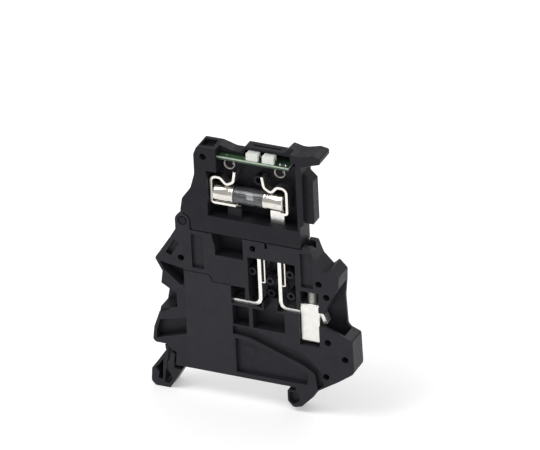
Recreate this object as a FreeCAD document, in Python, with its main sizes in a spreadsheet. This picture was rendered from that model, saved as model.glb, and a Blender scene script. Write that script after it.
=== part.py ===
import FreeCAD, Part
import math
import os

import Sketcher
from FreeCAD import Placement, Rotation, Vector

# A fuse terminal block that snaps onto a 35 mm top-hat rail, open on its front side.
# X runs across the rail towards the fixed hook, Y from the open side to the closed
# side, Z up. The origin is on the rail seat, midway between the two sides.

SIZES = {
    # Overall
    "block_width": 6.2,
    "side_wall": 0.8,
    "cover_sheet": 0.8,
    "play": 0.2,
    # Rail seat, spring foot and fixed hook
    "rail_width": 35.0,
    "rail_lip": 1.0,
    "rail_play": 0.15,
    "foot_reach": 7.0,
    "foot_drop": 7.4,
    "hook_grip": 2.3,
    "hook_reach": 6.3,
    "hook_drop": 6.3,
    # Left side of the housing
    "left_wing": 23.5,
    "left_neck": 19.4,
    "left_tip": 21.6,
    "wing_floor": 6.1,
    "mouth_floor": 16.6,
    "mouth_roof": 25.0,
    "tip_height": 32.2,
    # Right side of the housing
    "right_wing": 34.8,
    "right_neck": 30.7,
    "right_shoulder": 31.4,
    "right_floor": 17.3,
    "deck_height": 42.6,
    "shoulder_rise": 0.8,
    "lever_gap": 0.3,
    # Hinge
    "pivot_side": 13.1,
    "pivot_rise": 2.5,
    "ear_radius": 2.1,
    "pin_radius": 1.0,
    "pin_play": 0.07,
    "ear_sheet": 1.1,
    "hub_radius": 2.0,
    # Screw clamps
    "left_clamp": 9.0,
    "right_clamp": 22.3,
    "cage_length": 5.3,
    "cage_width": 4.2,
    "cage_floor": 14.0,
    "cage_height": 11.8,
    "cage_sheet": 0.75,
    "cage_head": 2.2,
    "clamp_travel": 2.25,
    "screw_radius": 1.25,
    "head_radius": 1.9,
    "head_height": 2.4,
    "head_seat": 30.6,
    "head_edge": 0.35,
    "slot_width": 0.7,
    "slot_depth": 1.0,
    "thread_play": 0.05,
    "driver_radius": 1.5,
    # Current bars and their contact springs
    "bar_sheet": 1.0,
    "bar_width": 4.0,
    "bar_height": 22.5,
    "bar_bend": 1.6,
    "bar_drop": 1.0,
    "left_bar": 8.7,
    "right_bar": 13.5,
    "fork_depth": 3.8,
    "fork_play": 0.075,
    "spring_sheet": 0.35,
    "spring_gap": 0.65,
    "spring_start": 29.6,
    # Contact chamber
    "chamber_left": 5.3,
    "chamber_right": 18.9,
    "chamber_drop": 5.1,
    # Lever
    "lever_right": 22.0,
    "lever_heel": 20.9,
    "top_rise": 4.0,
    "window_rise": 5.4,
    "window_left": 5.5,
    "window_right": 20.3,
    "window_height": 13.5,
    "board_wall": 2.5,
    "roof_sheet": 0.8,
    "rib_half": 1.7,
    "rib_reach": 2.5,
    "rib_rise": 2.2,
    "rib_length": 12.8,
    "spur_reach": 5.4,
    # Fuse
    "fuse_length": 20.0,
    "fuse_radius": 2.55,
    "cap_length": 5.7,
    "cap_sheet": 0.25,
    "glass_sheet": 0.5,
    "wire_radius": 0.12,
    "fuse_middle": 5.9,
    "fuse_rise": 6.4,
    "fuse_setback": 2.7,
    # Fuse clips and contact blades
    "clip_sheet": 0.7,
    "clip_width": 2.4,
    "blade_sheet": 0.8,
    "blade_reach": 4.2,
    # Circuit board and what is soldered to it
    "board_length": 20.7,
    "board_width": 4.4,
    "board_sheet": 1.0,
    "board_rise": 3.7,
    "board_start": 2.8,
    "lamp_length": 3.6,
    "lamp_width": 2.2,
    "lamp_height": 2.1,
    "lamp_start": 5.6,
    "lamp_pitch": 4.6,
    "resistor_length": 2.0,
    "resistor_width": 1.25,
    "resistor_height": 0.6,
    "ring_radius": 1.55,
    "ring_wire": 0.4,
    # Small features of the mouldings
    "hole_radius": 0.95,
    "hole_depth": 2.4,
    "shaft_recess": 0.85,
    "panel_recess": 1.2,
    "corner": 0.5,
}


class Size:
    """A length that knows both its number and the expression that gives it."""

    def __init__(self, number, words):
        self.number = number
        self.words = words

    def join(self, other, sign, number):
        return Size(number, f"({self.words} {sign} {size(other).words})")

    def __add__(self, other):
        return self.join(other, "+", self.number + size(other).number)

    def __sub__(self, other):
        return self.join(other, "-", self.number - size(other).number)

    def __mul__(self, other):
        return self.join(other, "*", self.number * size(other).number)

    def __truediv__(self, other):
        return self.join(other, "/", self.number / size(other).number)

    def __radd__(self, other):
        return size(other) + self

    def __rsub__(self, other):
        return size(other) - self

    def __rmul__(self, other):
        return size(other) * self

    def __neg__(self):
        return Size(-self.number, f"(0 - {self.words})")


def size(thing):
    if isinstance(thing, Size):
        return thing
    return Size(float(thing), repr(float(thing)))


class Sheet:
    """The spreadsheet's cells, read by name."""

    def __getattr__(self, name):
        return Size(SIZES[name], f"Sizes.{name}")


doc = FreeCAD.newDocument("fuse_terminal_block")
cells = doc.addObject("Spreadsheet::Sheet", "Sizes")
for row, (alias, number) in enumerate(SIZES.items(), start=1):
    cells.set(f"A{row}", alias.replace("_", " "))
    cells.set(f"B{row}", str(number))
    cells.setAlias(f"B{row}", alias)
doc.recompute()
s = Sheet()
PARTS = []

# Levels between the open front and the closed back
front = -s.block_width / 2
back = s.block_width / 2
inner = back - s.side_wall
skin = front + s.cover_sheet
middle = front + s.fuse_setback

# Heights that follow the deck
shoulder_height = s.deck_height + s.shoulder_rise
pivot_height = s.deck_height + s.pivot_rise
bar_top = s.deck_height - s.bar_drop
chamber_top = s.deck_height - s.chamber_drop
blade_tip = s.deck_height - s.blade_reach
window_floor = s.deck_height + s.window_rise
fuse_height = window_floor + s.fuse_rise
rib_start = window_floor + s.rib_rise
shelf_height = window_floor + s.window_height
board_height = shelf_height + s.board_rise
lever_top = board_height + s.top_rise


# Sketch and feature helpers

def bind(thing, path, value):
    """Ties one property to the sheet."""
    thing.setExpression(path, size(value).words)


def new_body(label):
    body = doc.addObject("PartDesign::Body", label)
    body.Label = label
    PARTS.append(body)
    return body


def line_loop(sketch, corners):
    """Closes straight edges through the corners; a third value rounds one off."""
    count = len(corners)
    spots = [Vector(size(c[0]).number, size(c[1]).number, 0) for c in corners]
    radii = [size(c[2]) if len(c) > 2 else None for c in corners]
    ends = []
    for i, spot in enumerate(spots):
        if radii[i] is None:
            ends.append((spot, spot, None))
            continue
        before = (spots[i - 1] - spot).normalize()
        after = (spots[(i + 1) % count] - spot).normalize()
        half = before.getAngle(after) / 2
        setback = radii[i].number / math.tan(half)
        centre = spot + (before + after).normalize() * (radii[i].number / math.sin(half))
        ends.append((spot + before * setback, spot + after * setback, centre))
    rules = []
    bonds = []
    sides = []
    for i in range(count):
        edge = Part.LineSegment(ends[i][1], ends[(i + 1) % count][0])
        sides.append(sketch.addGeometry(edge, False))
    for i in range(count):
        arriving, leaving = sides[i - 1], sides[i]
        if radii[i] is None:
            rules.append(Sketcher.Constraint("Coincident", arriving, 2, leaving, 1))
            owner, spot_index = leaving, 1
        else:
            arrival, departure, centre = ends[i]
            turns_left = (spots[i] - arrival).cross(departure - spots[i]).z > 0
            first, last = (1, 2) if turns_left else (2, 1)
            start, end = (arrival, departure) if turns_left else (departure, arrival)
            circle = Part.Circle(centre, Vector(0, 0, 1), radii[i].number)
            angles = [math.atan2(spot.y - centre.y, spot.x - centre.x) for spot in (start, end)]
            arc = sketch.addGeometry(Part.ArcOfCircle(circle, *angles), False)
            rules.append(Sketcher.Constraint("Tangent", arriving, 2, arc, first))
            rules.append(Sketcher.Constraint("Tangent", arc, last, leaving, 1))
            bonds.append((len(rules), radii[i]))
            rules.append(Sketcher.Constraint("Radius", arc, radii[i].number))
            owner = sketch.addGeometry(Part.Point(spots[i]), True)
            spot_index = 1
            rules.append(Sketcher.Constraint("PointOnObject", owner, 1, arriving))
            rules.append(Sketcher.Constraint("PointOnObject", owner, 1, leaving))
        for way, value in (("DistanceX", corners[i][0]), ("DistanceY", corners[i][1])):
            bonds.append((len(rules), value))
            rules.append(Sketcher.Constraint(way, -1, 1, owner, spot_index, size(value).number))
    first_rule = sketch.ConstraintCount
    sketch.addConstraint(rules)
    for index, value in bonds:
        bind(sketch, f"Constraints[{first_rule + index}]", value)


def round_loop(sketch, x, z, radius):
    centre = Vector(size(x).number, size(z).number, 0)
    ring = sketch.addGeometry(Part.Circle(centre, Vector(0, 0, 1), size(radius).number), False)
    first_rule = sketch.ConstraintCount
    sketch.addConstraint([
        Sketcher.Constraint("Radius", ring, size(radius).number),
        Sketcher.Constraint("DistanceX", -1, 1, ring, 3, size(x).number),
        Sketcher.Constraint("DistanceY", -1, 1, ring, 3, size(z).number),
    ])
    for index, value in enumerate((radius, x, z)):
        bind(sketch, f"Constraints[{first_rule + index}]", value)


def box_corners(x0, x1, z0, z1):
    return [(x0, z0), (x1, z0), (x1, z1), (x0, z1)]


def new_sketch(body, name, plane, level, loops):
    """A sketch parallel to one of the body's planes. A loop is corners or a circle."""
    sketch = body.newObject("Sketcher::SketchObject", name)
    role = {"side": "XZ_Plane", "end": "YZ_Plane", "top": "XY_Plane"}[plane]
    origin_plane = [item for item in body.Origin.OriginFeatures if item.Role == role][0]
    sketch.AttachmentSupport = (origin_plane, [""])
    sketch.MapMode = "FlatFace"
    bind(sketch, "AttachmentOffset.Base.z", -size(level) if plane == "side" else level)
    for loop in loops:
        if isinstance(loop, tuple):
            round_loop(sketch, *loop)
        else:
            line_loop(sketch, loop)
    return sketch


def add(body, name, loops, start, end, plane="side"):
    """Material between two levels."""
    sketch = new_sketch(body, name + "_sketch", plane, start, loops)
    pad = body.newObject("PartDesign::Pad", name)
    pad.Profile = sketch
    pad.Reversed = plane == "side"
    bind(pad, "Length", size(end) - start)
    return pad


def cut(body, name, loops, start, end, plane="side"):
    """A recess between two levels."""
    sketch = new_sketch(body, name + "_sketch", plane, start, loops)
    pocket = body.newObject("PartDesign::Pocket", name)
    pocket.Profile = sketch
    pocket.Reversed = plane != "side"
    bind(pocket, "Length", size(end) - start)
    return pocket


def strip_corners(path, sheet):
    """The outline of a bent strip whose middle line runs through the path's points."""
    points = [Vector(size(p[0]).number, size(p[1]).number, 0) for p in path]
    near, far = [], []
    for i, point in enumerate(points):
        steps = []
        if i > 0:
            steps.append((point - points[i - 1]).normalize())
        if i < len(points) - 1:
            steps.append((points[i + 1] - point).normalize())
        way = (steps[0] + steps[-1]).normalize()
        reach = 0.5 / max(0.3, way.dot(steps[0]))
        side_x = -way.y * reach
        side_z = way.x * reach
        bend = path[i][2] if len(path[i]) > 2 else None
        turn = steps[0].cross(steps[-1]).z
        for row, sign in ((near, 1), (far, -1)):
            corner = (path[i][0] + sheet * (sign * side_x), path[i][1] + sheet * (sign * side_z))
            if bend is not None:
                outside = turn * sign < 0
                corner += (bend + sheet if outside else bend,)
            row.append(corner)
    return near + far[::-1]


# Housing: the rail foot, both conductor mouths, the clamp chambers and the hinge ears

def make_housing():
    body = new_body("housing")
    seat = s.rail_width / 2
    outline = [
        (0.5 - seat, 0),
        (0.8 - seat, 4.0),
        (0.2 - s.left_neck, s.wing_floor - 0.7),
        (-s.left_neck, s.wing_floor),
        (-s.left_wing, s.wing_floor, 1.2),
        (0.6 - s.left_wing, s.wing_floor + 4.7, 2),
        (2.2 - s.left_wing, s.mouth_floor - 1.4, 1),
        (-s.left_neck - 1.0, s.mouth_floor + 3.4),
        (-s.left_neck - 0.7, s.mouth_roof, s.corner),
        (-s.left_neck - 0.2, s.mouth_roof + 3.5),
        (-s.left_tip, s.tip_height, 0.8),
        (4.6 - s.left_tip, s.tip_height + 7.0),
        (-s.pivot_side - s.ear_radius, s.deck_height - 0.4),
        (-s.pivot_side - s.ear_radius, s.deck_height),
        (s.lever_heel + s.lever_gap, s.deck_height),
        (s.lever_heel + s.lever_gap, shoulder_height),
        (s.right_clamp + 1.1, shoulder_height, 0.6),
        (s.right_clamp + 1.7, shoulder_height - 1.8),
        (s.right_clamp + 2.5, shoulder_height - 3.8),
        (s.right_clamp + 5.2, shoulder_height - 6.6),
        (s.right_shoulder - 2.2, shoulder_height - 5.0, 0.3),
        (s.right_shoulder, shoulder_height - 7.3, 0.5),
        (s.right_shoulder - 0.2, shoulder_height - 11.0),
        (s.right_neck, s.right_floor + 10.5, 12),
        (s.right_neck + 0.4, s.right_floor + 1.4, 2),
        (s.right_wing - 0.2, s.right_floor, 0.8),
        (s.right_wing, s.right_floor - 9.8, 2),
        (s.right_wing - 4.8, 4.0),
        (seat + s.hook_reach, 0),
        (seat + s.hook_reach - 1.0, -1.8, 1),
        (seat + 1.7, 0.7 - s.hook_drop, 1.5),
        (seat - 0.7, -s.hook_drop, 1),
        (seat - s.hook_grip, 1.8 - s.hook_drop, 0.8),
        (seat - s.hook_grip, -s.rail_lip - s.rail_play, 0.3),
        (seat + s.rail_play, -s.rail_lip - s.rail_play, 0.2),
        (seat + s.rail_play, 0),
    ]
    add(body, "body_profile", [outline], front, back)

    # Spring foot, which hangs from one arm and springs under the rail's lip
    foot = seat + s.foot_reach
    spring_foot = [
        (-s.left_neck + 0.2, s.wing_floor - 0.4),
        (-s.left_neck - 0.6, s.wing_floor - 0.4),
        (-s.left_neck - 0.4, s.wing_floor - 2.0),
        (2.1 - foot, 0.3),
        (0.3 - foot, -2.2, 1),
        (-foot, 1.2 - s.foot_drop, 1.2),
        (1.2 - foot, -s.foot_drop, 1),
        (5.4 - foot, -s.foot_drop, 0.5),
        (2.0 - seat, -0.25 - s.rail_lip - s.rail_play),
        (2.0 - seat, -s.rail_lip - s.rail_play),
        (-seat - s.rail_play, -s.rail_lip - s.rail_play),
        (-seat - s.rail_play, 0.2),
        (-seat + 0.2, 3.2),
        (-seat - 0.7, 4.0, 0.4),
        (-seat - 1.2, 1.8),
        (-seat - 1.9, -2.3),
        (-seat - 0.7, -3.7, 0.5),
        (-seat - 1.2, 2.0 - s.foot_drop, 0.5),
        (-seat - 2.1, 1.2 - s.foot_drop, 0.5),
        (-seat - 3.2, 1.3 - s.foot_drop, 0.4),
        (-seat - 2.7, -2.4),
        (-seat - 1.5, 4.6),
    ]
    add(body, "spring_foot", [spring_foot], front, back)
    groove = [
        (-seat - 3.2, 1.2),
        (-seat - 4.6, -0.8),
        (-seat - 5.6, -1.8),
        (-seat - 4.6, -3.2),
        (-seat - 5.0, -5.0, 0.4),
        (-seat - 3.6, -5.4, 0.4),
        (-seat - 3.4, -1.2),
    ]
    cut(body, "foot_groove", [groove], front, inner - 0.4)

    # Hinge ears, one on each side of the lever's hub
    ear = [(-s.pivot_side, pivot_height, s.ear_radius)]
    stem = box_corners(-s.pivot_side - s.ear_radius, s.ear_radius - s.pivot_side,
                       s.deck_height - s.corner, pivot_height)
    for name, near, far in (("front", front, front + s.ear_sheet), ("back", back - s.ear_sheet, back)):
        add(body, f"{name}_ear_stem", [stem], near, far)
        add(body, f"{name}_ear", ear, near, far)
    bore = s.pin_radius + s.pin_play
    cut(body, "pin_bore", [(-s.pivot_side, pivot_height, bore)], front, back)
    cut(body, "pin_bore_rim", [(-s.pivot_side, pivot_height, bore + 0.3)], front, front + 0.3)

    # Recess for the cover, and the clamp chambers behind and beside it
    cut(body, "cover_recess", [cover_corners(s.play)], front, skin)
    chamber = s.cage_length / 2 + s.play
    neck_half = s.head_radius + 0.3
    for name, x, level, neck_end in (("left", -s.left_clamp, skin, neck_half), ("right", s.right_clamp, front, 3.0)):
        cut(body, f"{name}_chamber", [box_corners(x - chamber, x + chamber,
            s.cage_floor - s.play * 2, s.cage_floor + s.cage_height + s.play)], level, inner)
        cut(body, f"{name}_chamber_neck", [box_corners(x - neck_half, x + neck_end,
            s.cage_floor + s.cage_height, s.head_seat - s.corner)], level, inner)
        cut(body, f"{name}_cage_run", [box_corners(x - chamber, x + chamber,
            s.cage_floor + s.cage_height, s.cage_floor + s.cage_height + s.clamp_travel + s.play)],
            skin, inner)
        wide = [(x, 0, s.head_radius + s.play / 2)]
        narrow = [(x, 0, s.driver_radius)]
        seat_level = s.head_seat - s.corner
        cut(body, f"{name}_head_bore", wide, seat_level, s.head_seat + s.head_height * 2, "top")
        cut(body, f"{name}_driver_bore", narrow, seat_level, shoulder_height + 1, "top")
        recess = box_corners(x - 1.8, x + 1.6, s.head_seat + 0.7, s.deck_height - 1.1)
        cut(body, f"{name}_shaft_recess", [recess], front, front + s.shaft_recess)

    # Conductor mouths
    left_inside = chamber - s.left_clamp
    right_inside = s.right_clamp + chamber
    left_mouth = [
        (-s.left_wing - 1, s.mouth_floor + 0.3),
        (-s.left_neck + 3.6, s.mouth_floor + 0.3),
        (-s.left_neck + 3.6, s.mouth_roof - 0.2),
        (-s.left_wing - 1, s.mouth_roof - 0.2),
    ]
    cut(body, "left_mouth", [left_mouth], skin, inner)
    left_mouth_front = [
        (-s.left_wing - 1, s.mouth_floor - 1.0),
        (-s.left_neck - 1.4, s.mouth_floor - 1.0),
        (-s.left_neck + 3.6, s.mouth_floor + 1.4),
        (-s.left_neck + 3.6, s.mouth_roof - 2.7),
        (-s.left_neck - 0.9, s.mouth_roof - 0.1),
        (-s.left_wing - 1, s.mouth_roof - 0.1),
    ]
    cut(body, "left_mouth_front", [left_mouth_front], front, skin)
    cut(body, "left_channel", [box_corners(-s.left_neck + 2, left_inside, s.mouth_floor - 0.8,
        s.bar_height + s.bar_sheet)], skin, inner)
    left_lip = [
        (-s.left_wing + 1.2, s.wing_floor + 1.4),
        (-13.4, s.wing_floor + 4.3),
        (-13.4, s.mouth_floor - 1.4),
        (-s.left_wing + 2.4, s.mouth_floor - 3.2, 1),
        (-s.left_wing + 1.4, s.wing_floor + 4.0),
    ]
    cut(body, "left_lip_dish", [left_lip], front, front + 2.4)
    left_brow = [
        (-s.left_tip + 1.3, s.tip_height - 0.7),
        (-s.left_neck + 0.4, s.tip_height - 3.2),
        (-14.6, s.mouth_roof + 0.3),
        (-13.4, s.mouth_roof + 0.3),
        (-13.4, s.head_seat - 0.2),
    ]
    cut(body, "left_brow_dish", [left_brow], front, back - 2.6)
    right_mouth = [
        (s.right_wing + 2, s.right_floor - 0.9),
        (s.right_wing + 2, shoulder_height - 4.0),
        (s.right_shoulder + 0.4, shoulder_height - 9.6),
        (28.6, 28.5, 4),
        (s.right_clamp + 4.8, s.bar_height + 2.3, 0.6),
        (s.right_clamp + 4.2, s.bar_height - 2.0, 0.6),
    ]
    cut(body, "right_mouth", [right_mouth], front, inner)
    cut(body, "right_channel", [box_corners(right_inside - 1, right_inside + 7,
        s.mouth_floor - 0.4, s.bar_height + s.bar_sheet + 0.8)], skin, inner)

    cut(body, "right_bar_end", [box_corners(right_inside - 0.2, right_inside + 2.0,
        s.bar_height - 2.4, s.bar_height + s.bar_sheet + 0.8)], front, skin + 0.1)

    # Contact chamber, the channels of the current bars and the open pockets round them
    cut(body, "contact_chamber", [box_corners(s.chamber_left, s.chamber_right,
        s.bar_height + s.bar_sheet + 0.6, chamber_top)], front, inner)
    cut(body, "contact_loft", [box_corners(s.chamber_left + 0.8, s.chamber_right - 1,
        chamber_top - 0.2, bar_top + 0.3)], skin, inner)
    blade_near = middle - s.blade_sheet / 2 - 0.2
    cut(body, "blade_slot", [box_corners(s.chamber_left + 0.8, s.chamber_right - 1,
        bar_top - 0.2, s.deck_height + 1)], blade_near, blade_near + s.blade_sheet + 0.4)
    cut(body, "left_bar_channel", [box_corners(left_inside - 0.5, s.left_bar + 0.2,
        s.bar_height, s.bar_height + s.bar_sheet + 0.7)], skin, inner)
    cut(body, "left_bar_window", [box_corners(0.1, s.chamber_left - 1.1,
        s.bar_height + 0.1, 27.9)], front, inner)
    cut(body, "left_bar_front", [box_corners(0.1, s.left_bar + 0.2,
        s.bar_height, s.bar_height + s.bar_sheet + 0.6)], front, skin + 0.1)
    cut(body, "right_bar_channel", [box_corners(s.right_bar - 0.2, s.right_clamp - chamber + 0.5,
        s.bar_height, s.bar_height + s.bar_sheet + 0.7)], front, inner)
    cut(body, "low_pockets", [
        box_corners(0.3, 5.0, 16.1, s.bar_height - 0.5),
        box_corners(6.1, 15.3, 16.1, s.bar_height - 0.5),
    ], front, back - 2.6)
    cut(body, "bar_gap", [box_corners(9.4, 13.2, s.bar_height - 1, s.bar_height + 2.1)],
        front, back - 2.6)

    # Open well in the deck and its rounded left flank
    well = [
        (-4.0, s.deck_height - 6.3),
        (4.1, s.deck_height - 6.3),
        (4.1, s.deck_height + 1),
        (-5.0, s.deck_height + 1),
        (-4.6, s.deck_height - 1.6, 1.5),
        (-4.0, s.deck_height - 3.6, 3),
    ]
    cut(body, "deck_well", [well], front, inner - 0.6)
    notch = box_corners(10.4, 11.2, s.deck_height - 1.6, s.deck_height + 0.5)
    cut(body, "deck_notch", [notch], front, front + s.shaft_recess)

    # Foot panel inside its raised rim, and the channel outside the rim
    panel = [
        (0.7, 1.4),
        (21.0, 1.4, 0.5),
        (21.6, 4.6, 0.8),
        (19.6, 6.0),
        (5.0, 11.5, 6),
        (0.7, 11.9),
    ]
    cut(body, "foot_panel", [panel], front, front + s.panel_recess)
    gutter = [
        (0.1, 13.1),
        (5.2, 12.7, 6),
        (20.4, 7.2),
        (23.4, 5.3, 1),
        (24.0, 0.6),
        (26.0, 2.0),
        (25.4, 6.2, 1.5),
        (21.0, 10.4, 4),
        (6.0, 15.6),
        (0.1, 15.6),
    ]
    cut(body, "rim_gutter", [gutter], front, front + s.panel_recess)
    nose = [
        (seat - 1.8, -1.6, 0.3),
        (seat + 1.0, -1.5, 0.4),
        (seat + 1.2, -4.0, 0.5),
        (seat - 0.7, -5.4, 0.5),
        (seat - 1.8, -4.3, 0.3),
    ]
    cut(body, "hook_hollow", [nose], front, front + s.panel_recess)

    # Marker grooves on both flanks and the round sockets in the open side
    marker = [(-18.4, 34.5), (-17.0, 33.7), (-14.3, 38.0), (-15.8, 38.9)]
    cut(body, "marker_groove", [marker], front, front + s.panel_recess)
    sockets = [
        (25.5, 33.0), (27.6, 29.4), (27.5, 15.6), (32.3, 11.3), (26.6, 5.0),
        (-14.0, 33.6), (7.0, 40.3),
    ]
    cut(body, "sockets", [(x, z, s.hole_radius) for x, z in sockets], front, front + s.hole_depth)

    # Hollow posts on the chamber's back wall
    tall = front + 1.0
    posts = [(6.1, 32.8, tall), (11.1, 30.7, tall), (10.0, 25.3, inner - 1.6), (16.9, 33.7, tall), (17.0, 27.2, tall)]
    for index, (x, z, top) in enumerate(posts):
        add(body, f"post_{index}", [(x, z, s.hole_radius + 0.2)], top, inner)
        cut(body, f"post_bore_{index}", [(x, z, s.hole_radius - 0.35)], top, top + 1.4)
    return body


def cover_corners(gap=0):
    """The outline of the cover; its recess leaves a gap over the top edge."""
    return [
        (-13.3, s.rail_play),
        (0, s.rail_play),
        (0, 27.85 + gap),
        (-5.2 + gap, 27.85 + gap),
        (-6.0 + gap, 29.85 + gap, 0.3),
        (-13.3, 29.85 + gap),
    ]


def make_cover():
    body = new_body("clamp_cover")
    add(body, "cover_sheet", [cover_corners()], front, skin)


# Screw clamps

def make_cage(label, x):
    """A sleeve bent from sheet, open along X, with a thick threaded head."""
    body = new_body(label)
    half = s.cage_width / 2
    top = s.cage_floor + s.cage_height
    outer = [
        (-half, s.cage_floor, 0.9),
        (half, s.cage_floor, 0.9),
        (half, top, 0.4),
        (-half, top, 0.4),
    ]
    hollow = [
        (s.cage_sheet - half, s.cage_floor + s.cage_sheet, 0.3),
        (half - s.cage_sheet, s.cage_floor + s.cage_sheet, 0.3),
        (half - s.cage_sheet, top - s.cage_head),
        (s.cage_sheet - half, top - s.cage_head),
    ]
    start = x - s.cage_length / 2
    end = x + s.cage_length / 2
    add(body, "sleeve", [outer, hollow], start, end, "end")
    cut(body, "threaded_hole", [(x, 0, s.screw_radius + s.thread_play)],
        top - s.cage_head - 0.5, top + 0.5, "top")


def make_screw(label, x):
    """Slotted screw whose tip bears on the current bar."""
    body = new_body(label)
    tip = s.bar_height + s.bar_sheet + s.thread_play
    head_top = s.head_seat + s.head_height
    profile = [
        (0, tip),
        (s.screw_radius - 0.5, tip),
        (s.screw_radius, tip + 0.5),
        (s.screw_radius, s.head_seat),
        (s.head_radius, s.head_seat),
        (s.head_radius, head_top - s.head_edge),
        (s.head_radius - s.head_edge, head_top),
        (0, head_top),
    ]
    sketch = new_sketch(body, "screw_sketch", "side", 0, [profile])
    turned = body.newObject("PartDesign::Revolution", "turned")
    turned.Profile = sketch
    turned.ReferenceAxis = (sketch, ["V_Axis"])
    turned.Angle = 360
    slot = box_corners(-s.head_radius * 1.2, s.head_radius * 1.2, -s.slot_width / 2, s.slot_width / 2)
    cut(body, "slot", [slot], head_top - s.slot_depth, head_top + 0.2, "top")
    bind(body, "Placement.Base.x", x)


# Current bars, bent from strip, with a fork that the lever's blades enter

def make_bar(label, upright, away, clamp):
    """A bar from the fork down to the clamp on its side; away is 1 to the right, -1 to the left."""
    body = new_body(label)
    half = s.bar_sheet / 2
    level = s.bar_height + half
    past = clamp + away * (s.cage_length / 2 + s.play)
    path = [
        (upright, bar_top),
        (upright, level, s.bar_bend),
        (past + away * 0.2, level, s.corner),
        (past + away * 1.2, level - 2.8),
    ]
    strip = strip_corners(path, s.bar_sheet)
    near = middle - s.bar_width / 2 + 0.3
    add(body, "strip", [strip], near, near + s.bar_width)
    neck = s.cage_width / 2 - s.cage_sheet - s.play / 2
    reach = sorted((clamp - away * (s.cage_length / 2 + s.play), past + away * 3), key=lambda x: x.number)
    narrow = box_corners(*reach, s.bar_height - 4, s.bar_height + 2)
    cut(body, "front_neck", [narrow], near - 0.5, -neck)
    cut(body, "back_neck", [narrow], neck, near + s.bar_width + 0.5)
    fork = s.blade_sheet / 2 + s.fork_play
    cut(body, "fork", [box_corners(upright - s.bar_sheet, upright + s.bar_sheet,
        bar_top - s.fork_depth, bar_top + 1)], middle - fork, middle + fork)


def make_spring(label, face):
    """A leaf that stands beside the fork, clear of it, on a foot that meets the bar."""
    body = new_body(label)
    leaf = face + s.spring_gap
    outline = [
        (face, s.spring_start),
        (leaf + s.spring_sheet, s.spring_start, s.spring_sheet * 1.4),
        (leaf + s.spring_sheet, bar_top - 0.4),
        (leaf, bar_top - 0.4),
        (leaf, s.spring_start + s.spring_sheet, s.spring_sheet * 0.4),
        (face, s.spring_start + s.spring_sheet),
    ]
    near = middle - s.bar_width / 2 + 0.6
    add(body, "leaf", [outline], near, near + s.bar_width - 0.6)
    fork = s.blade_sheet / 2 + s.fork_play
    cut(body, "fork", [box_corners(face, leaf + s.spring_sheet * 2,
        bar_top - s.fork_depth, bar_top + 1)], middle - fork, middle + fork)


# Lever that carries the fuse and the lamps

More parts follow.
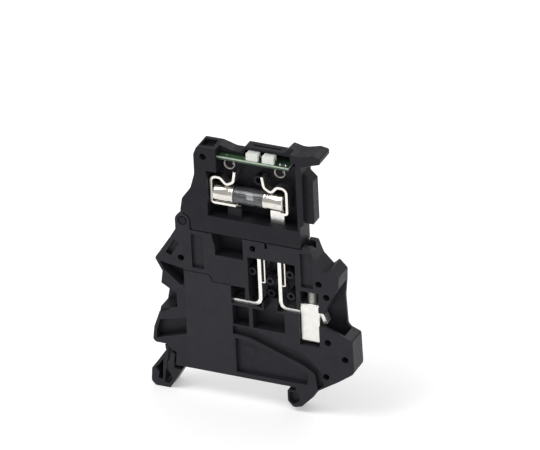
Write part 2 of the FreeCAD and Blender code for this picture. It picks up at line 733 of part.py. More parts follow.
def make_lever():
    body = new_body("lever")
    floor = s.deck_height + s.lever_gap
    hub = (-s.pivot_side, pivot_height, s.hub_radius)
    outline = [
        (-10.4, floor),
        (s.lever_heel, floor, 0.3),
        (s.lever_heel, rib_start - 1.0),
        (s.lever_right, rib_start),
        (s.lever_right, window_floor + 18.0),
        (s.lever_right - 0.3, lever_top - 1.6, 0.6),
        (s.lever_right + s.spur_reach, lever_top + 0.2, 0.6),
        (s.lever_right + s.spur_reach + 0.1, lever_top + 1.9, 0.5),
        (s.lever_right + 3.2, lever_top + 2.3, 1),
        (s.lever_right - 1.2, lever_top + 1.2, 5),
        (s.lever_right - 4.4, lever_top + 2.0, 0.6),
        (s.lever_right - 6.2, lever_top, 0.6),
        (4.8, lever_top, 0.5),
        (3.4, lever_top - 1.9, 0.5),
        (1.2, lever_top - 1.9, 1),
        (-2.6, lever_top - 0.8, 0.6),
        (-7.9, lever_top - 0.8, 0.8),
        (-8.9, window_floor + 18.0, 3),
        (-8.9, window_floor + 12.0, 5),
        (-10.2, window_floor + 7.6, 3),
        (-12.8, window_floor + 4.0, 2),
        (-13.4, window_floor + 0.6, 1),
        (-13.4, pivot_height),
        (-13.1, pivot_height - s.hub_radius + 0.2),
        (-10.4, pivot_height - s.hub_radius + 0.2),
    ]
    add(body, "lever_profile", [outline], front, back)
    rib = [
        (s.lever_right - 0.5, rib_start, 0.2),
        (s.lever_right + s.rib_reach, rib_start, 0.5),
        (s.lever_right + s.rib_reach, rib_start + s.rib_length, 0.8),
        (s.lever_right - 0.5, rib_start + s.rib_length + 2.8),
    ]
    add(body, "grip_rib", [rib], -s.rib_half, s.rib_half)

    # Hub and pin between and through the housing's ears
    ear_room = s.ear_radius + s.play * 1.75
    hub_half = s.block_width / 2 - s.ear_sheet - s.play / 2
    near_ear = [
        (-s.pivot_side, pivot_height, ear_room),
    ]
    stem_room = box_corners(-s.pivot_side - ear_room, ear_room - s.pivot_side,
                            s.deck_height, pivot_height)
    for name, near, far in (("front", front, -hub_half), ("back", hub_half, back)):
        cut(body, f"{name}_ear_room", near_ear, near, far)
        cut(body, f"{name}_stem_room", [stem_room], near, far)
    add(body, "hub", [hub], -hub_half, hub_half)
    add(body, "pin", [(-s.pivot_side, pivot_height, s.pin_radius)], front + 0.1, back - 0.1)

    # Window that shows the fuse, with the room for the circuit board above it
    cut(body, "fuse_window", [box_corners(-s.window_left, s.window_right,
        window_floor, shelf_height)], front, inner)
    board_room = [
        (-s.board_wall, shelf_height - 0.2),
        (s.window_right, shelf_height - 0.2),
        (s.window_right, lever_top - s.roof_sheet),
        (4.9, lever_top - s.roof_sheet),
        (4.2, board_height + s.board_sheet + 0.3),
        (-s.board_wall, board_height + s.board_sheet + 0.3),
    ]
    cut(body, "board_room", [board_room], front, inner)
    cut(body, "lamp_opening", [box_corners(-s.board_wall, 18.9,
        board_height + s.board_sheet, lever_top + 3)], front, middle + 0.2)
    cut(body, "board_groove", [box_corners(-s.board_start - 0.02, -s.board_wall + 0.2,
        board_height, board_height + s.board_sheet)], front + 0.7, inner)
    shelf = box_corners(17.2, s.window_right + 0.2, board_height - 1.1, board_height)
    add(body, "board_shelf", [shelf], inner - 1.6, inner)
    post = (8.2, shelf_height - 2.1, 1.45)
    add(body, "window_post", [post], inner - 2.2, inner)
    cut(body, "window_post_bore", [(8.2, shelf_height - 2.1, 0.8)], inner - 2.2, inner)

    # Low wall in front of the left blade
    screen = box_corners(-0.3, 3.6, window_floor - 0.2, fuse_height - s.fuse_radius - s.clip_sheet - 0.1)
    blade_front = middle - s.blade_sheet / 2
    add(body, "blade_screen", [screen], blade_front - 0.9, blade_front - 0.05)

    # Small marks of the moulding
    cut(body, "square_hole", [box_corners(3.1, 5.5, window_floor + 2.4, window_floor + 5.6)], inner - 0.2, back)
    cut(body, "cap_hole", [(-6.2, window_floor + 17.6, s.hole_radius)], front, back)
    cap_recess = box_corners(-7.3, -3.7, -1.9, 1.9)
    cut(body, "cap_recess", [cap_recess], lever_top - 2.1, lever_top, "top")
    cut(body, "roof_slot", [box_corners(6.6, 14.4, 1.0, 1.7)], lever_top - 0.4, lever_top + 0.5, "top")

    # Slots for the two contact blades
    for side in ("left", "right"):
        cut(body, f"{side}_blade_slot", [blade_corners(side)], blade_front, blade_front + s.blade_sheet)
    return body


def blade_corners(side):
    """The outline of a contact blade, which its slot in the lever shares."""
    under_cap = fuse_height - s.fuse_radius
    under_clip = under_cap - s.clip_sheet
    if side == "left":
        tip = s.left_bar - s.bar_sheet / 2
        return [
            (0.4, under_clip),
            (0.4, s.deck_height + 2.0, 0.4),
            (tip - 1.6, s.deck_height + 2.0),
            (tip - 1.6, blade_tip, 0.4),
            (tip + 1.8, blade_tip, 0.4),
            (tip + 1.8, s.deck_height + 4.6, 0.4),
            (2.9, s.deck_height + 4.6),
            (2.9, under_clip),
        ]
    tip = s.right_bar + s.bar_sheet / 2
    return [
        (11.6, under_cap),
        (11.6, s.deck_height + 3.4),
        (tip - 1.8, s.deck_height + 2.4),
        (tip - 1.8, blade_tip, 0.4),
        (tip + 1.9, blade_tip, 0.4),
        (tip + 1.9, s.deck_height + 3.0),
        (15.5, s.deck_height + 3.8),
        (15.5, under_clip),
        (14.6, under_clip),
        (14.6, under_cap),
    ]


def make_blade(side):
    body = new_body(f"{side}_contact_blade")
    start = middle - s.blade_sheet / 2
    add(body, "blade", [blade_corners(side)], start, start + s.blade_sheet)


def make_clip(side):
    """A spring clip bent from strip: a floor under the cap, a bow beyond its end and a dip on top."""
    body = new_body(f"{side}_fuse_clip")
    away = -1 if side == "left" else 1
    half = s.clip_sheet / 2
    end = s.fuse_middle + away * (s.fuse_length / 2)
    low = fuse_height - s.fuse_radius - half
    high = fuse_height + s.fuse_radius + half
    heel = end + away * (half + 0.45)
    dip = end - away * 3.6
    path = [
        (end - away * 6.1, low),
        (heel, low, 0.4),
        (heel, high + 1.9, 1.1),
        (end - away * 1.9, high + 1.9, 0.8),
        (dip, high, 0.7),
        (dip - away * 2.0, high + 1.2, 0.8),
        (dip - away * 2.5, high + 4.3),
    ]
    if away > 0:
        path[0] = (end - away * 1.2, low)
    strip = strip_corners(path, s.clip_sheet)
    start = middle - s.clip_width / 2
    add(body, "clip", [strip], start, start + s.clip_width)


# Fuse

def make_fuse():
    start = s.fuse_middle - s.fuse_length / 2
    end = s.fuse_middle + s.fuse_length / 2
    centre_y, centre_z = middle, fuse_height
    tube_radius = s.fuse_radius - s.cap_sheet
    for side, x0, x1, hollow0, hollow1 in (
        ("left", start, start + s.cap_length, start + s.cap_sheet, start + s.cap_length),
        ("right", end - s.cap_length, end, end - s.cap_length, end - s.cap_sheet),
    ):
        body = new_body(f"{side}_fuse_cap")
        add(body, "cap", [(centre_y, centre_z, s.fuse_radius)], x0, x1, "end")
        cut(body, "cap_hollow", [(centre_y, centre_z, tube_radius)], hollow0, hollow1, "end")
    glass = new_body("fuse_glass")
    add(glass, "tube", [(centre_y, centre_z, tube_radius), (centre_y, centre_z, tube_radius - s.glass_sheet)],
        start + s.cap_sheet, end - s.cap_sheet, "end")
    wire = new_body("fuse_wire")
    add(wire, "wire", [(centre_y, centre_z, s.wire_radius)], start + s.cap_sheet, end - s.cap_sheet, "end")


# Circuit board, lamps, resistor and contact rings

def make_block(label, x0, x1, y0, y1, z0, z1):
    """A plain rectangular piece given by its limits."""
    block = doc.addObject("Part::Box", label)
    block.Label = label
    bind(block, "Length", x1 - x0)
    bind(block, "Width", y1 - y0)
    bind(block, "Height", z1 - z0)
    bind(block, "Placement.Base.x", x0)
    bind(block, "Placement.Base.y", y0)
    bind(block, "Placement.Base.z", z0)
    PARTS.append(block)


def make_board():
    near = inner - 0.05 - s.board_width
    top = board_height + s.board_sheet
    start = -s.board_start
    make_block("circuit_board", start, start + s.board_length, near, near + s.board_width,
               board_height, top)
    for index, side in enumerate(("left", "right")):
        x0 = s.lamp_start + s.lamp_pitch * index
        make_block(f"{side}_lamp", x0, x0 + s.lamp_length, near + 0.1, near + 0.1 + s.lamp_width,
                   top, top + s.lamp_height)
    x0 = s.lamp_start + s.lamp_pitch * 2 + 0.4
    make_block("resistor", x0, x0 + s.resistor_length, near + 0.3, near + 0.3 + s.resistor_width,
               top, top + s.resistor_height)
    for side, x in (("left", 0.5), ("right", 14.9)):
        ring = new_body(f"{side}_contact_ring")
        z = board_height - s.ring_radius
        loops = [(x, z, s.ring_radius), (x, z, s.ring_radius - s.ring_wire)]
        add(ring, "loop", loops, near + 1.0, near + 1.0 + s.ring_wire)


def make_all():
    make_housing()
    make_cover()
    for side, x in (("left", -s.left_clamp), ("right", s.right_clamp)):
        make_cage(f"{side}_clamp_cage", x)
        make_screw(f"{side}_clamp_screw", x)
    make_bar("left_current_bar", s.left_bar - s.bar_sheet / 2, -1, -s.left_clamp)
    make_bar("right_current_bar", s.right_bar + s.bar_sheet / 2, 1, s.right_clamp)
    make_spring("left_contact_spring", s.left_bar)
    make_spring("right_contact_spring", s.right_bar + s.bar_sheet)
    make_lever()
    for side in ("left", "right"):
        make_blade(side)
        make_clip(side)
    make_fuse()
    make_board()
    doc.recompute()


def write_parts():
    """Checks every object of the document, then writes one file for each piece."""
    for thing in doc.Objects:
        if "Invalid" in thing.State or "Error" in thing.State:
            raise RuntimeError(f"{thing.Label} failed: {thing.State}")
    for piece in PARTS:
        shape = piece.Shape
        if shape.isNull() or not shape.isValid() or not shape.Solids:
            raise RuntimeError(f"{piece.Label} has no valid solid")
    os.makedirs("parts", exist_ok=True)
    for piece in PARTS:
        piece.Shape.exportStep(f"parts/{piece.Label}.step")
        print(f"{piece.Label}: {len(piece.Shape.Solids)} solid, {piece.Shape.Volume:.1f} mm3")


make_all()
write_parts()
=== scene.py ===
import math

import bmesh
import bpy
from mathutils import Matrix, Vector


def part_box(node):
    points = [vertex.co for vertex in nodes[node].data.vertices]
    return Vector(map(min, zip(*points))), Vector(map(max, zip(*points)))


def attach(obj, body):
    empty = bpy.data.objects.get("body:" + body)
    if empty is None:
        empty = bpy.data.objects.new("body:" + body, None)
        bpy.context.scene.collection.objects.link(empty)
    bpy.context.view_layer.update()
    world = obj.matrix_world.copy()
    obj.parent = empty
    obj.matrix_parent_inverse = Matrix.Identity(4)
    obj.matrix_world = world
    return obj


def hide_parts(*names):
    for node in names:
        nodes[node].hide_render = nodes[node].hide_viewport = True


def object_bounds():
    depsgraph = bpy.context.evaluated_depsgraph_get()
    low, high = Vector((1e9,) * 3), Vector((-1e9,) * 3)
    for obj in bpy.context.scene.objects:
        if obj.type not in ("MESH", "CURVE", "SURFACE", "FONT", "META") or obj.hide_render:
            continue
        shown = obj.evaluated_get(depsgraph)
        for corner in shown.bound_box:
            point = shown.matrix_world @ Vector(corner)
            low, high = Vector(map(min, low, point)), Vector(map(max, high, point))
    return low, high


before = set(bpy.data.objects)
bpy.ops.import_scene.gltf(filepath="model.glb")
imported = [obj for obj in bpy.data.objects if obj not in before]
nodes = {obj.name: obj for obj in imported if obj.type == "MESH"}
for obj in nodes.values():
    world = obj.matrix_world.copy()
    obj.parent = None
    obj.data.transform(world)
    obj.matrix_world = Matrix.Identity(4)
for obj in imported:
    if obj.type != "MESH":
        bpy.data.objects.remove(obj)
cad_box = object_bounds()
MM = 0.001
SIDES = ("left", "right")

# The photograph's camera, fitted to the rail and the row's pitch. Turn, tilt and roll are in
# degrees, focus and photo width in pixels, and the clip distances in metres. Range, side and rise
# are in millimetres from a point of the block's open side, half its width in front of the middle.
VIEW_TURN = 24.81
VIEW_TILT = 29.74
VIEW_ROLL = -2.65
VIEW_FOCUS = 8135.0
VIEW_RANGE = 2160.0
VIEW_SIDE = 9.36
VIEW_RISE = 40.08
VIEW_CLIP = (0.1, 20)
PHOTO_WIDTH = 540
SENSOR = 36.0
HALF_WIDTH = 3.1


def make_camera():
    turn, tilt, roll = (math.radians(v) for v in (VIEW_TURN, VIEW_TILT, VIEW_ROLL))
    back = Vector((math.sin(turn) * math.cos(tilt), -math.cos(turn) * math.cos(tilt),
                   math.sin(tilt)))
    level = Vector((math.cos(turn), math.sin(turn), 0))
    rise = back.cross(level)
    right = level * math.cos(roll) + rise * math.sin(roll)
    up = rise * math.cos(roll) - level * math.sin(roll)
    spot = right * VIEW_SIDE + up * VIEW_RISE + back * VIEW_RANGE - Vector((0, HALF_WIDTH, 0))
    data = bpy.data.cameras.new("camera")
    data.sensor_width = SENSOR
    data.lens = VIEW_FOCUS / PHOTO_WIDTH * SENSOR
    data.clip_start, data.clip_end = VIEW_CLIP
    camera = bpy.data.objects.new("camera", data)
    bpy.context.collection.objects.link(camera)
    axes = Matrix((right, up, back)).transposed().to_4x4()
    camera.matrix_world = Matrix.Translation(spot * MM) @ axes
    bpy.context.scene.camera = camera


# Materials. A grain is a noise: its scale per metre, its detail, and how it is stretched. A gloss
# is the lowest and highest roughness. Depths and radii are in metres.

GRAIN_LOW, GRAIN_HIGH = 0.3, 0.7
BEVEL_SAMPLES = 6


class Finish:
    """A material whose colour, roughness and relief come from noise in the object's own space."""

    def __init__(self, name, metal=0.0, **values):
        self.mat = bpy.data.materials.new(name)
        self.mat.use_nodes = True
        self.tree = self.mat.node_tree
        self.shader = self.tree.nodes["Principled BSDF"]
        self.shader.inputs["Metallic"].default_value = metal
        for key, value in values.items():
            self.shader.inputs[key.replace("_", " ")].default_value = value
        self.place = self.node("ShaderNodeTexCoord").outputs["Object"]

    def node(self, kind, **links):
        made = self.tree.nodes.new(kind)
        for key, source in links.items():
            self.join(source, made.inputs[key])
        return made

    def join(self, source, target):
        self.tree.links.new(source, target)

    def noise(self, scale, detail, stretch=(1, 1, 1), shift=0.0):
        mapping = self.node("ShaderNodeMapping", Vector=self.place)
        mapping.inputs["Scale"].default_value = stretch
        mapping.inputs["Location"].default_value = (shift, shift * 2, -shift)
        made = self.node("ShaderNodeTexNoise", Vector=mapping.outputs["Vector"])
        made.inputs["Scale"].default_value = scale
        made.inputs["Detail"].default_value = detail
        return made.outputs["Fac"]

    def span(self, source, low, high, start=GRAIN_LOW, end=GRAIN_HIGH):
        made = self.node("ShaderNodeMapRange", Value=source)
        made.inputs["From Min"].default_value = start
        made.inputs["From Max"].default_value = end
        made.inputs["To Min"].default_value = low
        made.inputs["To Max"].default_value = high
        return made.outputs["Result"]

    def add(self, first, second):
        made = self.node("ShaderNodeMath")
        self.join(first, made.inputs[0])
        self.join(second, made.inputs[1])
        return made.outputs["Value"]

    def colour(self, source, dark, light, end=GRAIN_HIGH):
        made = self.node("ShaderNodeValToRGB", Fac=source)
        for element, spot, tone in zip(made.color_ramp.elements, (GRAIN_LOW, end), (dark, light)):
            element.position = spot
            element.color = (*tone, 1)
        self.join(made.outputs["Color"], self.shader.inputs["Base Color"])

    def rough(self, source, gloss):
        self.join(self.span(source, *gloss), self.shader.inputs["Roughness"])

    def rounded(self, radius):
        """A normal that softens the piece's sharp edges."""
        made = self.node("ShaderNodeBevel")
        made.samples = BEVEL_SAMPLES
        made.inputs["Radius"].default_value = radius
        return made.outputs["Normal"]

    def relief(self, source, depth, strength, under=None):
        """Bumps on the surface, or on the normal that lies under them."""
        made = self.node("ShaderNodeBump", Height=source)
        made.inputs["Distance"].default_value = depth
        made.inputs["Strength"].default_value = strength
        if under is not None:
            self.join(under, made.inputs["Normal"])
        self.join(made.outputs["Normal"], self.shader.inputs["Normal"])
        return made.outputs["Normal"]


def plastic(name, dark, light, specular, gloss):
    """Moulded plastic: cloudy in tone, faintly wavy, with a fine matte grain and soft edges."""
    made = Finish(name, Specular_IOR_Level=specular, Specular_Tint=(0.9, 0.9, 1, 1))
    made.colour(made.noise(260, 4), dark, light, end=0.72)
    made.rough(made.noise(900, 3, shift=0.4), gloss)
    waves = made.relief(made.noise(420, 2, shift=1.3), 30e-6, 0.3, made.rounded(140e-6))
    made.relief(made.noise(7000, 2), 10e-6, 0.5, waves)
    return made.mat


def sheet_metal(name, dark, light, gloss, stretch=(1, 1, 1), streak=5000, metal=1.0):
    """Rolled or plated metal with fine marks drawn out along one way."""
    made = Finish(name, metal)
    marks = made.noise(streak, 4, stretch)
    made.colour(made.noise(700, 3, shift=0.7), dark, light)
    made.rough(marks, gloss)
    made.relief(marks, 6e-6, 0.5, made.rounded(80e-6))
    return made.mat


def coated(name, dark, light, gloss, tint, polish, bumps, depth, strength=0.5, **values):
    """A printed, cast or sawn surface, with a grain each for its tint, polish and bumps."""
    made = Finish(name, **values)
    made.colour(made.noise(*tint), dark, light)
    made.rough(made.noise(*polish), gloss)
    made.relief(made.noise(*bumps), depth, strength)
    return made.mat


def clear_glass(name):
    # The glass is partly diffuse and grey as painted shade: its tint darkens the bright backdrop
    # seen through it, which blocks behind it would shade.
    made = Finish(name, Transmission_Weight=0.92, IOR=1.47)
    made.colour(made.noise(300, 2), (0.50, 0.51, 0.52), (0.60, 0.61, 0.62))
    made.rough(made.noise(1500, 2), (0.0, 0.05))
    return made.mat


def make_plastics():
    return {
        "housing": plastic("black_polyamide", (0.0128, 0.0128, 0.0156), (0.0172, 0.0172, 0.0208),
                           specular=0.24, gloss=(0.4, 0.56)),
        "lever": plastic("black_polyamide_lever", (0.0108, 0.0108, 0.0134),
                         (0.0148, 0.0148, 0.018), specular=0.17, gloss=(0.4, 0.54)),
        "clamp_cover": plastic("black_polyamide_cover", (0.0134, 0.0134, 0.0166),
                               (0.0174, 0.0174, 0.0216), specular=0.27, gloss=(0.4, 0.52)),
    }


def make_metals():
    along_x, along_y = (0.1, 1, 1), (1, 0.1, 1)
    return {
        "cage": sheet_metal("plated_cage", (0.82, 0.81, 0.77), (0.92, 0.91, 0.87),
                            (0.32, 0.46), along_x),
        "bar": sheet_metal("tinned_copper", (0.84, 0.83, 0.80), (0.94, 0.93, 0.91),
                           (0.27, 0.38), along_y),
        "spring": sheet_metal("spring_strip", (0.80, 0.76, 0.72), (0.92, 0.88, 0.84),
                              (0.25, 0.35), along_y),
        "screw": sheet_metal("zinc_screw", (0.60, 0.60, 0.58), (0.74, 0.74, 0.72),
                             (0.42, 0.56), (1, 1, 0.2), streak=3500, metal=0.7),
        "cap": sheet_metal("nickel_cap", (0.66, 0.63, 0.58), (0.78, 0.75, 0.70),
                           (0.1, 0.2), (0.2, 1, 1), streak=3000),
        # The ring's wire is kept darker than the other plated metal as painted shade, for the
        # shade under the board that it lies in.
        "ring": sheet_metal("ring_wire", (0.34, 0.30, 0.27), (0.50, 0.46, 0.42), (0.4, 0.52)),
        "wire": sheet_metal("fine_wire", (0.5, 0.5, 0.5), (0.7, 0.7, 0.7), (0.25, 0.4)),
        "solder": sheet_metal("solder", (0.66, 0.66, 0.66), (0.82, 0.82, 0.82),
                              (0.2, 0.38), streak=2600),
    }


def make_board_finishes():
    layers = (0.15, 1, 1)
    return {
        "board": coated("green_mask", (0.018, 0.040, 0.020), (0.030, 0.064, 0.034), (0.28, 0.42),
                        tint=(5200, 3, (1, 1, 0.3)), polish=(1300, 2), bumps=(4200, 2),
                        depth=8e-6, Specular_IOR_Level=0.5),
        "edge": coated("laminate_edge", (0.34, 0.42, 0.34), (0.52, 0.60, 0.48), (0.6, 0.8),
                       tint=(5000, 4, layers), polish=(3000, 2), bumps=(6000, 3, layers),
                       depth=10e-6, strength=0.6, Specular_IOR_Level=0.4),
        "lamp": coated("lamp_white", (0.70, 0.72, 0.66), (0.78, 0.80, 0.74), (0.28, 0.42),
                       tint=(1600, 3), polish=(2600, 2), bumps=(3000, 2), depth=6e-6,
                       strength=0.4, Subsurface_Weight=0.15, Subsurface_Scale=0.0006),
        "chip": coated("resistor_body", (0.015, 0.018, 0.017), (0.03, 0.035, 0.032), (0.25, 0.4),
                       tint=(3800, 3), polish=(4000, 2), bumps=(5000, 2), depth=5e-6,
                       Coat_Weight=0.3),
        "track": coated("green_track", (0.02, 0.085, 0.03), (0.035, 0.125, 0.045), (0.25, 0.4),
                        tint=(4200, 3), polish=(2300, 2), bumps=(5200, 2), depth=4e-6,
                        Specular_IOR_Level=0.5),
        "lens": coated("lamp_lens", (0.66, 0.67, 0.62), (0.74, 0.75, 0.70), (0.15, 0.28),
                       tint=(1300, 2), polish=(2000, 2), bumps=(2500, 2), depth=4e-6,
                       strength=0.4, Subsurface_Weight=0.3, Subsurface_Scale=0.0005,
                       Coat_Weight=0.4),
    }


def make_finishes():
    return {**make_plastics(), **make_metals(), "glass": clear_glass("fuse_glass"),
            **make_board_finishes()}


NODE_FINISHES = {
    "housing": "housing", "clamp_cover": "clamp_cover", "lever": "lever",
    "clamp_cage": "cage", "clamp_screw": "screw", "current_bar": "bar", "contact_blade": "bar",
    "contact_spring": "spring", "contact_ring": "ring", "fuse_clip": "spring", "fuse_cap": "cap",
    "fuse_glass": "glass", "fuse_wire": "wire", "circuit_board": "board", "lamp": "lamp",
    "resistor": "chip",
}


def paint(thing, finish):
    thing.data.materials.clear()
    thing.data.materials.append(finish)


def paint_nodes(finishes):
    """Gives each CAD node its finish. The left and right node of a pair have the same one."""
    for name, node in nodes.items():
        kind = name if name in NODE_FINISHES else name.split("_", 1)[1]
        paint(node, finishes[NODE_FINISHES[kind]])


# Pieces that stand for CAD nodes or lie on them, in millimetres

SHARP_ANGLE = math.radians(32)


def on_circle(radius, turn):
    return radius * math.cos(turn), radius * math.sin(turn)


def quads(rows, count, first=0):
    """The faces between rows of vertices that each go once round a form."""
    faces = []
    for row in range(rows - 1):
        a, b = first + row * count, first + (row + 1) * count
        for i in range(count):
            j = (i + 1) % count
            faces.append([a + i, a + j, b + j, b + i])
    return faces


class Piece:
    """Gathers closed forms, each with its own finish, into one object."""

    def __init__(self, name):
        self.name = name
        self.form = bmesh.new()
        self.finishes = []

    def close(self, verts, faces, finish):
        if finish not in self.finishes:
            self.finishes.append(finish)
        made = [self.form.verts.new(v) for v in verts]
        for face in faces:
            corners = [made[i] for i in face]
            self.form.faces.new(corners).material_index = self.finishes.index(finish)

    def block(self, low, high, finish, edge=0.0, taper=0.0):
        """A block with chamfered edges, narrower at its top where it has a taper."""
        (x0, y0, z0), (x1, y1, z1) = low, high
        part = bmesh.new()
        verts = []
        for z, inset in ((z0, 0.0), (z1, taper)):
            for x, y in ((x0 + inset, y0 + inset), (x1 - inset, y0 + inset),
                         (x1 - inset, y1 - inset), (x0 + inset, y1 - inset)):
                verts.append(part.verts.new((x, y, z)))
        for face in ((3, 2, 1, 0), (4, 5, 6, 7), (0, 1, 5, 4), (1, 2, 6, 5), (2, 3, 7, 6),
                     (3, 0, 4, 7)):
            part.faces.new([verts[i] for i in face])
        if edge:
            bmesh.ops.bevel(part, geom=part.edges[:], offset=edge, segments=2, affect="EDGES",
                            profile=0.6)
        part.verts.index_update()
        self.close([v.co[:] for v in part.verts],
                   [[v.index for v in f.verts] for f in part.faces], finish)
        part.free()

    def lathe(self, profile, centre, finish, along="z", sides=64):
        """Turns (place along the axis, radius) pairs; a radius of 0 closes the end."""
        rows, verts, faces = [], [], []
        for place, radius in profile:
            row = []
            for i in range(sides if radius else 1):
                a, b = on_circle(radius, 2 * math.pi * i / sides)
                offset = {"x": (place, a, b), "y": (b, place, a), "z": (a, b, place)}[along]
                row.append(len(verts))
                verts.append(tuple(c + o for c, o in zip(centre, offset)))
            rows.append(row)
        for low, high in zip(rows, rows[1:]):
            for i in range(sides):
                j = (i + 1) % sides
                corners = [low[i % len(low)], low[j % len(low)],
                           high[j % len(high)], high[i % len(high)]]
                corners = list(dict.fromkeys(corners))
                if len(corners) > 2:
                    faces.append(corners)
        self.close(verts, faces, finish)

    def tube(self, path, radius, finish, sides):
        """A round wire along the path, with flat ends."""
        points = [Vector(p) for p in path]
        last = len(points) - 1
        side = Vector((0.3, 0.5, 0.81)).normalized()
        verts = []
        for i, point in enumerate(points):
            way = (points[min(i + 1, last)] - points[max(i - 1, 0)]).normalized()
            side = (side - way * side.dot(way)).normalized()
            other = way.cross(side)
            for k in range(sides):
                a, b = on_circle(radius, 2 * math.pi * k / sides)
                verts.append(tuple(point + side * a + other * b))
        faces = quads(len(points), sides)
        faces.append(list(range(sides))[::-1])
        faces.append([last * sides + k for k in range(sides)])
        self.close(verts, faces, finish)

    def done(self, finishes, body, slot, *stands_for):
        """Makes the object in metres, on its body, in place of the nodes that it stands for."""
        bmesh.ops.recalc_face_normals(self.form, faces=self.form.faces[:])
        bmesh.ops.scale(self.form, vec=(MM, MM, MM), verts=self.form.verts[:])
        mesh = bpy.data.meshes.new(self.name)
        self.form.to_mesh(mesh)
        self.form.free()
        mesh.shade_smooth()
        mesh.set_sharp_from_angle(angle=SHARP_ANGLE)
        thing = bpy.data.objects.new(self.name, mesh)
        bpy.context.collection.objects.link(thing)
        for finish in self.finishes:
            mesh.materials.append(finishes[finish])
        if stands_for:
            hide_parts(*stands_for)
        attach(thing, body)


def edges_of(node):
    """The lowest and highest corner of a CAD node, and its middle, in millimetres."""
    low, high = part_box(node)
    low, high = Vector(low) / MM, Vector(high) / MM
    return low, high, [(a + b) / 2 for a, b in zip(low, high)]


def cut_thread(piece, x, y, tip, end):
    """A single thread on a shank, from the screw's bevelled tip up."""
    pitch, crest, root, flank, tip_bevel = 0.45, 1.25, 1.0, 2.6, 0.45
    sides, steps = 48, 8
    rows = int((end - tip) / pitch * steps)
    verts = [(x, y, tip)]
    for row in range(rows + 1):
        z = tip + row * pitch / steps
        for i in range(sides):
            wave = ((z / pitch) - i / sides) % 1.0
            reach = root + (crest - root) * min(1.0, flank * min(wave, 1 - wave))
            reach = min(reach, crest - tip_bevel + (z - tip))
            a, b = on_circle(reach, 2 * math.pi * i / sides)
            verts.append((x + a, y + b, z))
    faces = quads(rows + 1, sides, first=1)
    for i in range(sides):
        faces.append([0, 1 + (i + 1) % sides, 1 + i])
    faces.append([1 + rows * sides + i for i in range(sides)])
    piece.close(verts, faces, "screw")


def make_screw(finishes, side):
    """A clamp screw: thread, neck, and a head whose top is in two halves beside the slot."""
    low, high, (x, y, _) = edges_of(f"{side}_clamp_screw")
    head = (high.x - low.x) / 2
    head_height, slot_half, slot_depth = 2.4, 0.35, 1.0
    neck, neck_height, thread_gap = 1.1, 0.32, 0.3
    chamfer, bevel, points = 0.12, 0.35, 30
    seat, floor = high.z - head_height, high.z - slot_depth
    piece = Piece(f"{side}_threaded_screw")
    cut_thread(piece, x, y, low.z, seat - thread_gap)
    piece.lathe([(seat - neck_height, 0), (seat - neck_height, neck), (seat, neck),
                 (seat, head - chamfer), (seat + chamfer, head), (floor, head), (floor, 0)],
                (x, y, 0), "screw")
    rim = ((floor, head), (high.z - bevel, head),
           (high.z - bevel * 0.3, head - bevel * 0.35), (high.z, head - bevel))
    for sign in (1, -1):
        verts = []
        for z, radius in rim:
            begin = math.asin(slot_half / radius)
            for i in range(points):
                a, b = on_circle(radius, begin + (math.pi - 2 * begin) * i / (points - 1))
                verts.append((x + a, y + sign * b, z))
        faces = quads(len(rim), points)
        faces.append(list(range(points)))
        faces.append([(len(rim) - 1) * points + i for i in range(points)])
        piece.close(verts, faces, "screw")
    piece.done(finishes, f"{side}_screw", "screw_steel", f"{side}_clamp_screw")


def make_ring(finishes, side):
    """A small coil under the board, with a bent tail at each end of its wire."""
    low, high, (x, y, z) = edges_of(f"{side}_contact_ring")
    wire, turns, pitch, steps, sides = 0.14, 1.75, 0.32, 40, 12
    bend, bend_rise, tail, tail_rise = 0.35, 0.1, 0.75, 0.2
    radius = (high.x - low.x) / 2 - wire
    depth = pitch * turns
    count = int(turns * steps)
    path = []
    for i in range(count + 1):
        a, b = on_circle(radius, 2 * math.pi * turns * i / count + math.pi / 2)
        path.append((x + a, y - depth / 2 + depth * i / count, z + b))
    piece = Piece(f"{side}_wound_ring")
    piece.tube(path, wire, "ring", sides)
    for (x0, y0, z0), way in ((path[0], 1), (path[-1], -1)):
        piece.tube([(x0, y0, z0), (x0 + bend * way, y0, z0 + bend_rise * way),
                    (x0 + tail * way, y0, min(high.z - wire, z0 + tail_rise))],
                   wire * 0.95, "ring", sides)
    piece.done(finishes, "lever", "ring_wire", f"{side}_contact_ring")


def make_lamp(finishes, side):
    """A white body with a lens, and a soldered foot and end cap at each end."""
    low, high, (_, y, _) = edges_of(f"{side}_lamp")
    body_inset, lens_inset, lens_back, lens_height = 0.12, 0.34, 0.2, 0.3
    foot, foot_half, foot_height = 0.5, 0.75, 0.3
    cap_inset, cap_half, cap_low, cap_high = 0.04, 0.45, 0.2, 1.0
    piece = Piece(f"{side}_lamp_body")
    piece.block((low.x + body_inset, low.y, low.z + 0.02),
                (high.x - body_inset, high.y, high.z - 0.12), "lamp", edge=0.07, taper=0.02)
    piece.block((low.x + lens_inset, low.y + lens_back, high.z - lens_height),
                (high.x - lens_inset, high.y - lens_back, high.z), "lens", edge=0.06, taper=0.06)
    for x0, x1 in ((low.x, low.x + foot), (high.x - foot, high.x)):
        piece.block((x0, y - foot_half, low.z), (x1, y + foot_half, low.z + foot_height),
                    "solder", edge=0.06)
        piece.block((x0 + cap_inset, y - cap_half, low.z + cap_low),
                    (x1 - cap_inset, y + cap_half, low.z + cap_high), "solder", edge=0.05)
    piece.done(finishes, "lever", "lamp", f"{side}_lamp")


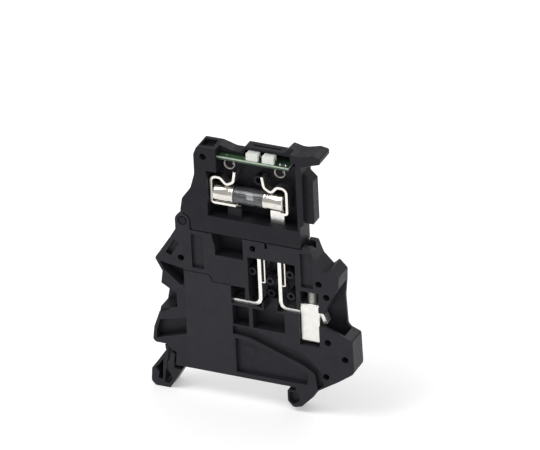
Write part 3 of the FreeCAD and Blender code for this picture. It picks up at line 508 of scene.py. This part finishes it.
def make_chip(finishes):
    """The resistor: a dark body with a raised top, and a soldered cap at each end."""
    low, high, _ = edges_of("resistor")
    body_inset, top_inset, cap = 0.28, 0.4, 0.36
    piece = Piece("resistor_body")
    piece.block((low.x + body_inset, low.y + 0.02, low.z + 0.03),
                (high.x - body_inset, high.y - 0.02, high.z - 0.04), "chip", edge=0.04)
    piece.block((low.x + top_inset, low.y + 0.06, high.z - 0.08),
                (high.x - top_inset, high.y - 0.06, high.z), "chip", edge=0.03)
    for x0, x1 in ((low.x, low.x + cap), (high.x - cap, high.x)):
        piece.block((x0, low.y, low.z), (x1, high.y, high.z - 0.02), "solder", edge=0.07)
    piece.done(finishes, "lever", "resistor", "resistor")


def make_board(finishes):
    """The lamps' board: a pale core between green layers, with tracks, pads and solder."""
    low, high, _ = edges_of("circuit_board")
    left_low, left_high, _ = edges_of("left_lamp")
    right_low, right_high, _ = edges_of("right_lamp")
    core_low, core_high, mask_top, mask_inset = high.z - 0.52, high.z - 0.07, high.z - 0.02, 0.03
    track_low, track_high = high.z - 0.025, high.z - 0.004
    front, back_rows, back_width = (low.y + 1.2, low.y + 1.5), (high.y - 0.8, high.y - 1.4), 0.25
    pad_low, pad_high, hole_low, hole_high = 0.36, 0.33, 0.15, 0.17
    piece = Piece("lamp_board")
    piece.block(low, (high.x, high.y, core_low), "board", edge=0.03)
    piece.block((low.x, low.y, core_low), (high.x, high.y, core_high), "edge", edge=0.02)
    piece.block((low.x + mask_inset, low.y + mask_inset, core_high),
                (high.x - mask_inset, high.y - mask_inset, mask_top), "board", edge=0.015)
    tracks = [
        (low.x + 0.8, left_low.x - 0.3, *front),
        (left_high.x + 0.2, right_low.x - 0.2, *front),
        (right_high.x + 0.2, high.x - 0.5, *front),
        (low.x + 1.0, high.x - 0.8, back_rows[0], back_rows[0] + back_width),
        (low.x + 1.6, high.x - 3.0, back_rows[1], back_rows[1] + back_width),
    ]
    for x0, x1, y0, y1 in tracks:
        piece.block((x0, y0, track_low), (x1, y1, track_high), "track", edge=0.005)
    pad = [(track_low, 0), (track_low, pad_low), (high.z, pad_high), (high.z, hole_high),
           (track_low, hole_low), (track_low, 0)]
    for x in (low.x + 1.0, low.x + 2.6, left_low.x - 0.6, high.x - 0.7):
        for y in (low.y + 1.35, high.y - 0.7):
            piece.lathe(pad, (x, y, 0), "solder", sides=24)
    joint = [(low.z - 0.12, 0), (low.z - 0.1, 0.25), (low.z - 0.02, 0.5), (low.z + 0.05, 0.5),
             (low.z + 0.05, 0)]
    for side in SIDES:
        x, y, _ = edges_of(f"{side}_contact_ring")[2]
        piece.lathe(joint, (x, y, 0), "solder", sides=24)
    piece.done(finishes, "lever", "circuit_board", "circuit_board")


def make_cap(finishes, side):
    """A fuse cap drawn from sheet: dimpled end, round bend, rolled groove and a thin rim."""
    low, high, (_, y, z) = edges_of(f"{side}_fuse_cap")
    radius, length = (high.z - low.z) / 2, high.x - low.x
    sheet, bend, bend_steps, dimple, groove = 0.25, 0.4, 6, 0.03, 0.07
    profile = [(dimple, 0), (dimple, radius * 0.55), (0, radius * 0.62), (0, radius - bend)]
    for i in range(1, bend_steps + 1):
        a, b = on_circle(bend, math.pi / 2 * i / bend_steps)
        profile.append((bend - a, radius - bend + b))
    for from_rim, sunk in ((1.5, 0), (1.35, groove), (1.05, groove), (0.9, 0), (0.12, 0)):
        profile.append((length - from_rim, radius - sunk))
    profile += [(length, radius - 0.1), (length, radius - sheet + 0.02),
                (length - 0.6, radius - sheet), (sheet, radius - sheet), (sheet, 0)]
    start, way = (low.x, 1) if side == "left" else (high.x, -1)
    piece = Piece(f"{side}_rolled_cap")
    piece.lathe([(place * way, reach) for place, reach in profile], (start, y, z), "cap",
                along="x", sides=96)
    piece.done(finishes, "lever", "fuse_cap", f"{side}_fuse_cap")


def make_fuse_wire(finishes):
    """The fuse's wire, finely wound and sagging a little between the caps."""
    low, high, (_, y, z) = edges_of("fuse_wire")
    wire, coil, coil_turns, sag, inset, steps, sides = 0.07, 0.05, 13, 0.12, 0.05, 240, 8
    path = []
    for i in range(steps + 1):
        part = i / steps
        a, b = on_circle(coil, part * (2 * coil_turns) * math.pi)
        path.append((low.x + inset + (high.x - low.x - 2 * inset) * part, y + a,
                     z - sag * math.sin(math.pi * part) + b))
    piece = Piece("wound_fuse_wire")
    piece.tube(path, wire, "wire", sides)
    piece.done(finishes, "lever", "fuse_wire", "fuse_wire")


def make_plain_disc(finishes):
    """A bare round insert mark on the foot panel, with a groove round it."""
    centre = (4.4, -1.9, 7.5)
    back, face, rim, groove, hollow = 0.05, -0.1, -0.06, -0.02, -0.03
    piece = Piece("panel_disc")
    piece.lathe([(back, 0), (back, 2.3), (rim, 2.3), (face, 2.24), (face, 1.75), (groove, 1.7),
                 (groove, 1.55), (face, 1.5), (face, 0.4), (hollow, 0.3), (hollow, 0)],
                centre, "housing", along="y", sides=72)
    piece.done(finishes, "base", "housing")


def make_pieces(finishes):
    for side in SIDES:
        make_screw(finishes, side)
        make_ring(finishes, side)
        make_lamp(finishes, side)
        make_cap(finishes, side)
    make_chip(finishes)
    make_board(finishes)
    make_fuse_wire(finishes)
    make_plain_disc(finishes)


# Floor and light, in metres and watts

FLOOR_SIZE = 6
FLOOR_GAP = 0.00005
FLOOR_LIFT = 0.25
WORLD_STRENGTH = 0.53
LIGHT_AIM = (0, 0, 0.03)
LIGHTS = (
    # name, place, width, power
    ("key", (-0.35, -0.25, 0.75), 0.5, 3.5),
    ("fill", (0.6, -0.7, 0.35), 0.7, 1.8),
    ("back", (0.1, 0.7, 0.6), 0.6, 2.1),
)


def floor_finish():
    """Only what is seen of the floor is lifted to white; the light that it gives isn't."""
    cloth = Finish("floor_white", Roughness=0.9, Specular_IOR_Level=0.1,
                   Emission_Color=(1, 1, 1, 1))
    cloth.colour(cloth.noise(4, 2), (0.86, 0.86, 0.86), (0.88, 0.88, 0.88))
    seen = cloth.node("ShaderNodeLightPath").outputs
    shown = cloth.add(cloth.add(seen["Is Camera Ray"], seen["Is Glossy Ray"]),
                      seen["Is Transmission Ray"])
    lift = cloth.span(shown, 0.0, FLOOR_LIFT, start=0.0, end=1.0)
    cloth.join(lift, cloth.shader.inputs["Emission Strength"])
    return cloth.mat


def make_stage():
    bpy.ops.mesh.primitive_plane_add(size=FLOOR_SIZE, location=(0, 0, cad_box[0].z - FLOOR_GAP))
    floor = bpy.context.object
    floor.name = "floor"
    paint(floor, floor_finish())
    world = bpy.data.worlds.new("studio")
    world.use_nodes = True
    background = world.node_tree.nodes["Background"].inputs
    background["Color"].default_value = (1, 1, 1, 1)
    background["Strength"].default_value = WORLD_STRENGTH
    bpy.context.scene.world = world
    for name, spot, width, power in LIGHTS:
        data = bpy.data.lights.new(name, "AREA")
        data.energy = power
        data.size = width
        light = bpy.data.objects.new(name, data)
        bpy.context.collection.objects.link(light)
        light.location = spot
        aim = Vector(LIGHT_AIM) - Vector(spot)
        light.rotation_euler = aim.to_track_quat("-Z", "Y").to_euler()
    bpy.context.scene.view_settings.view_transform = "Standard"


make_camera()
finishes = make_finishes()
paint_nodes(finishes)
make_pieces(finishes)
make_stage()
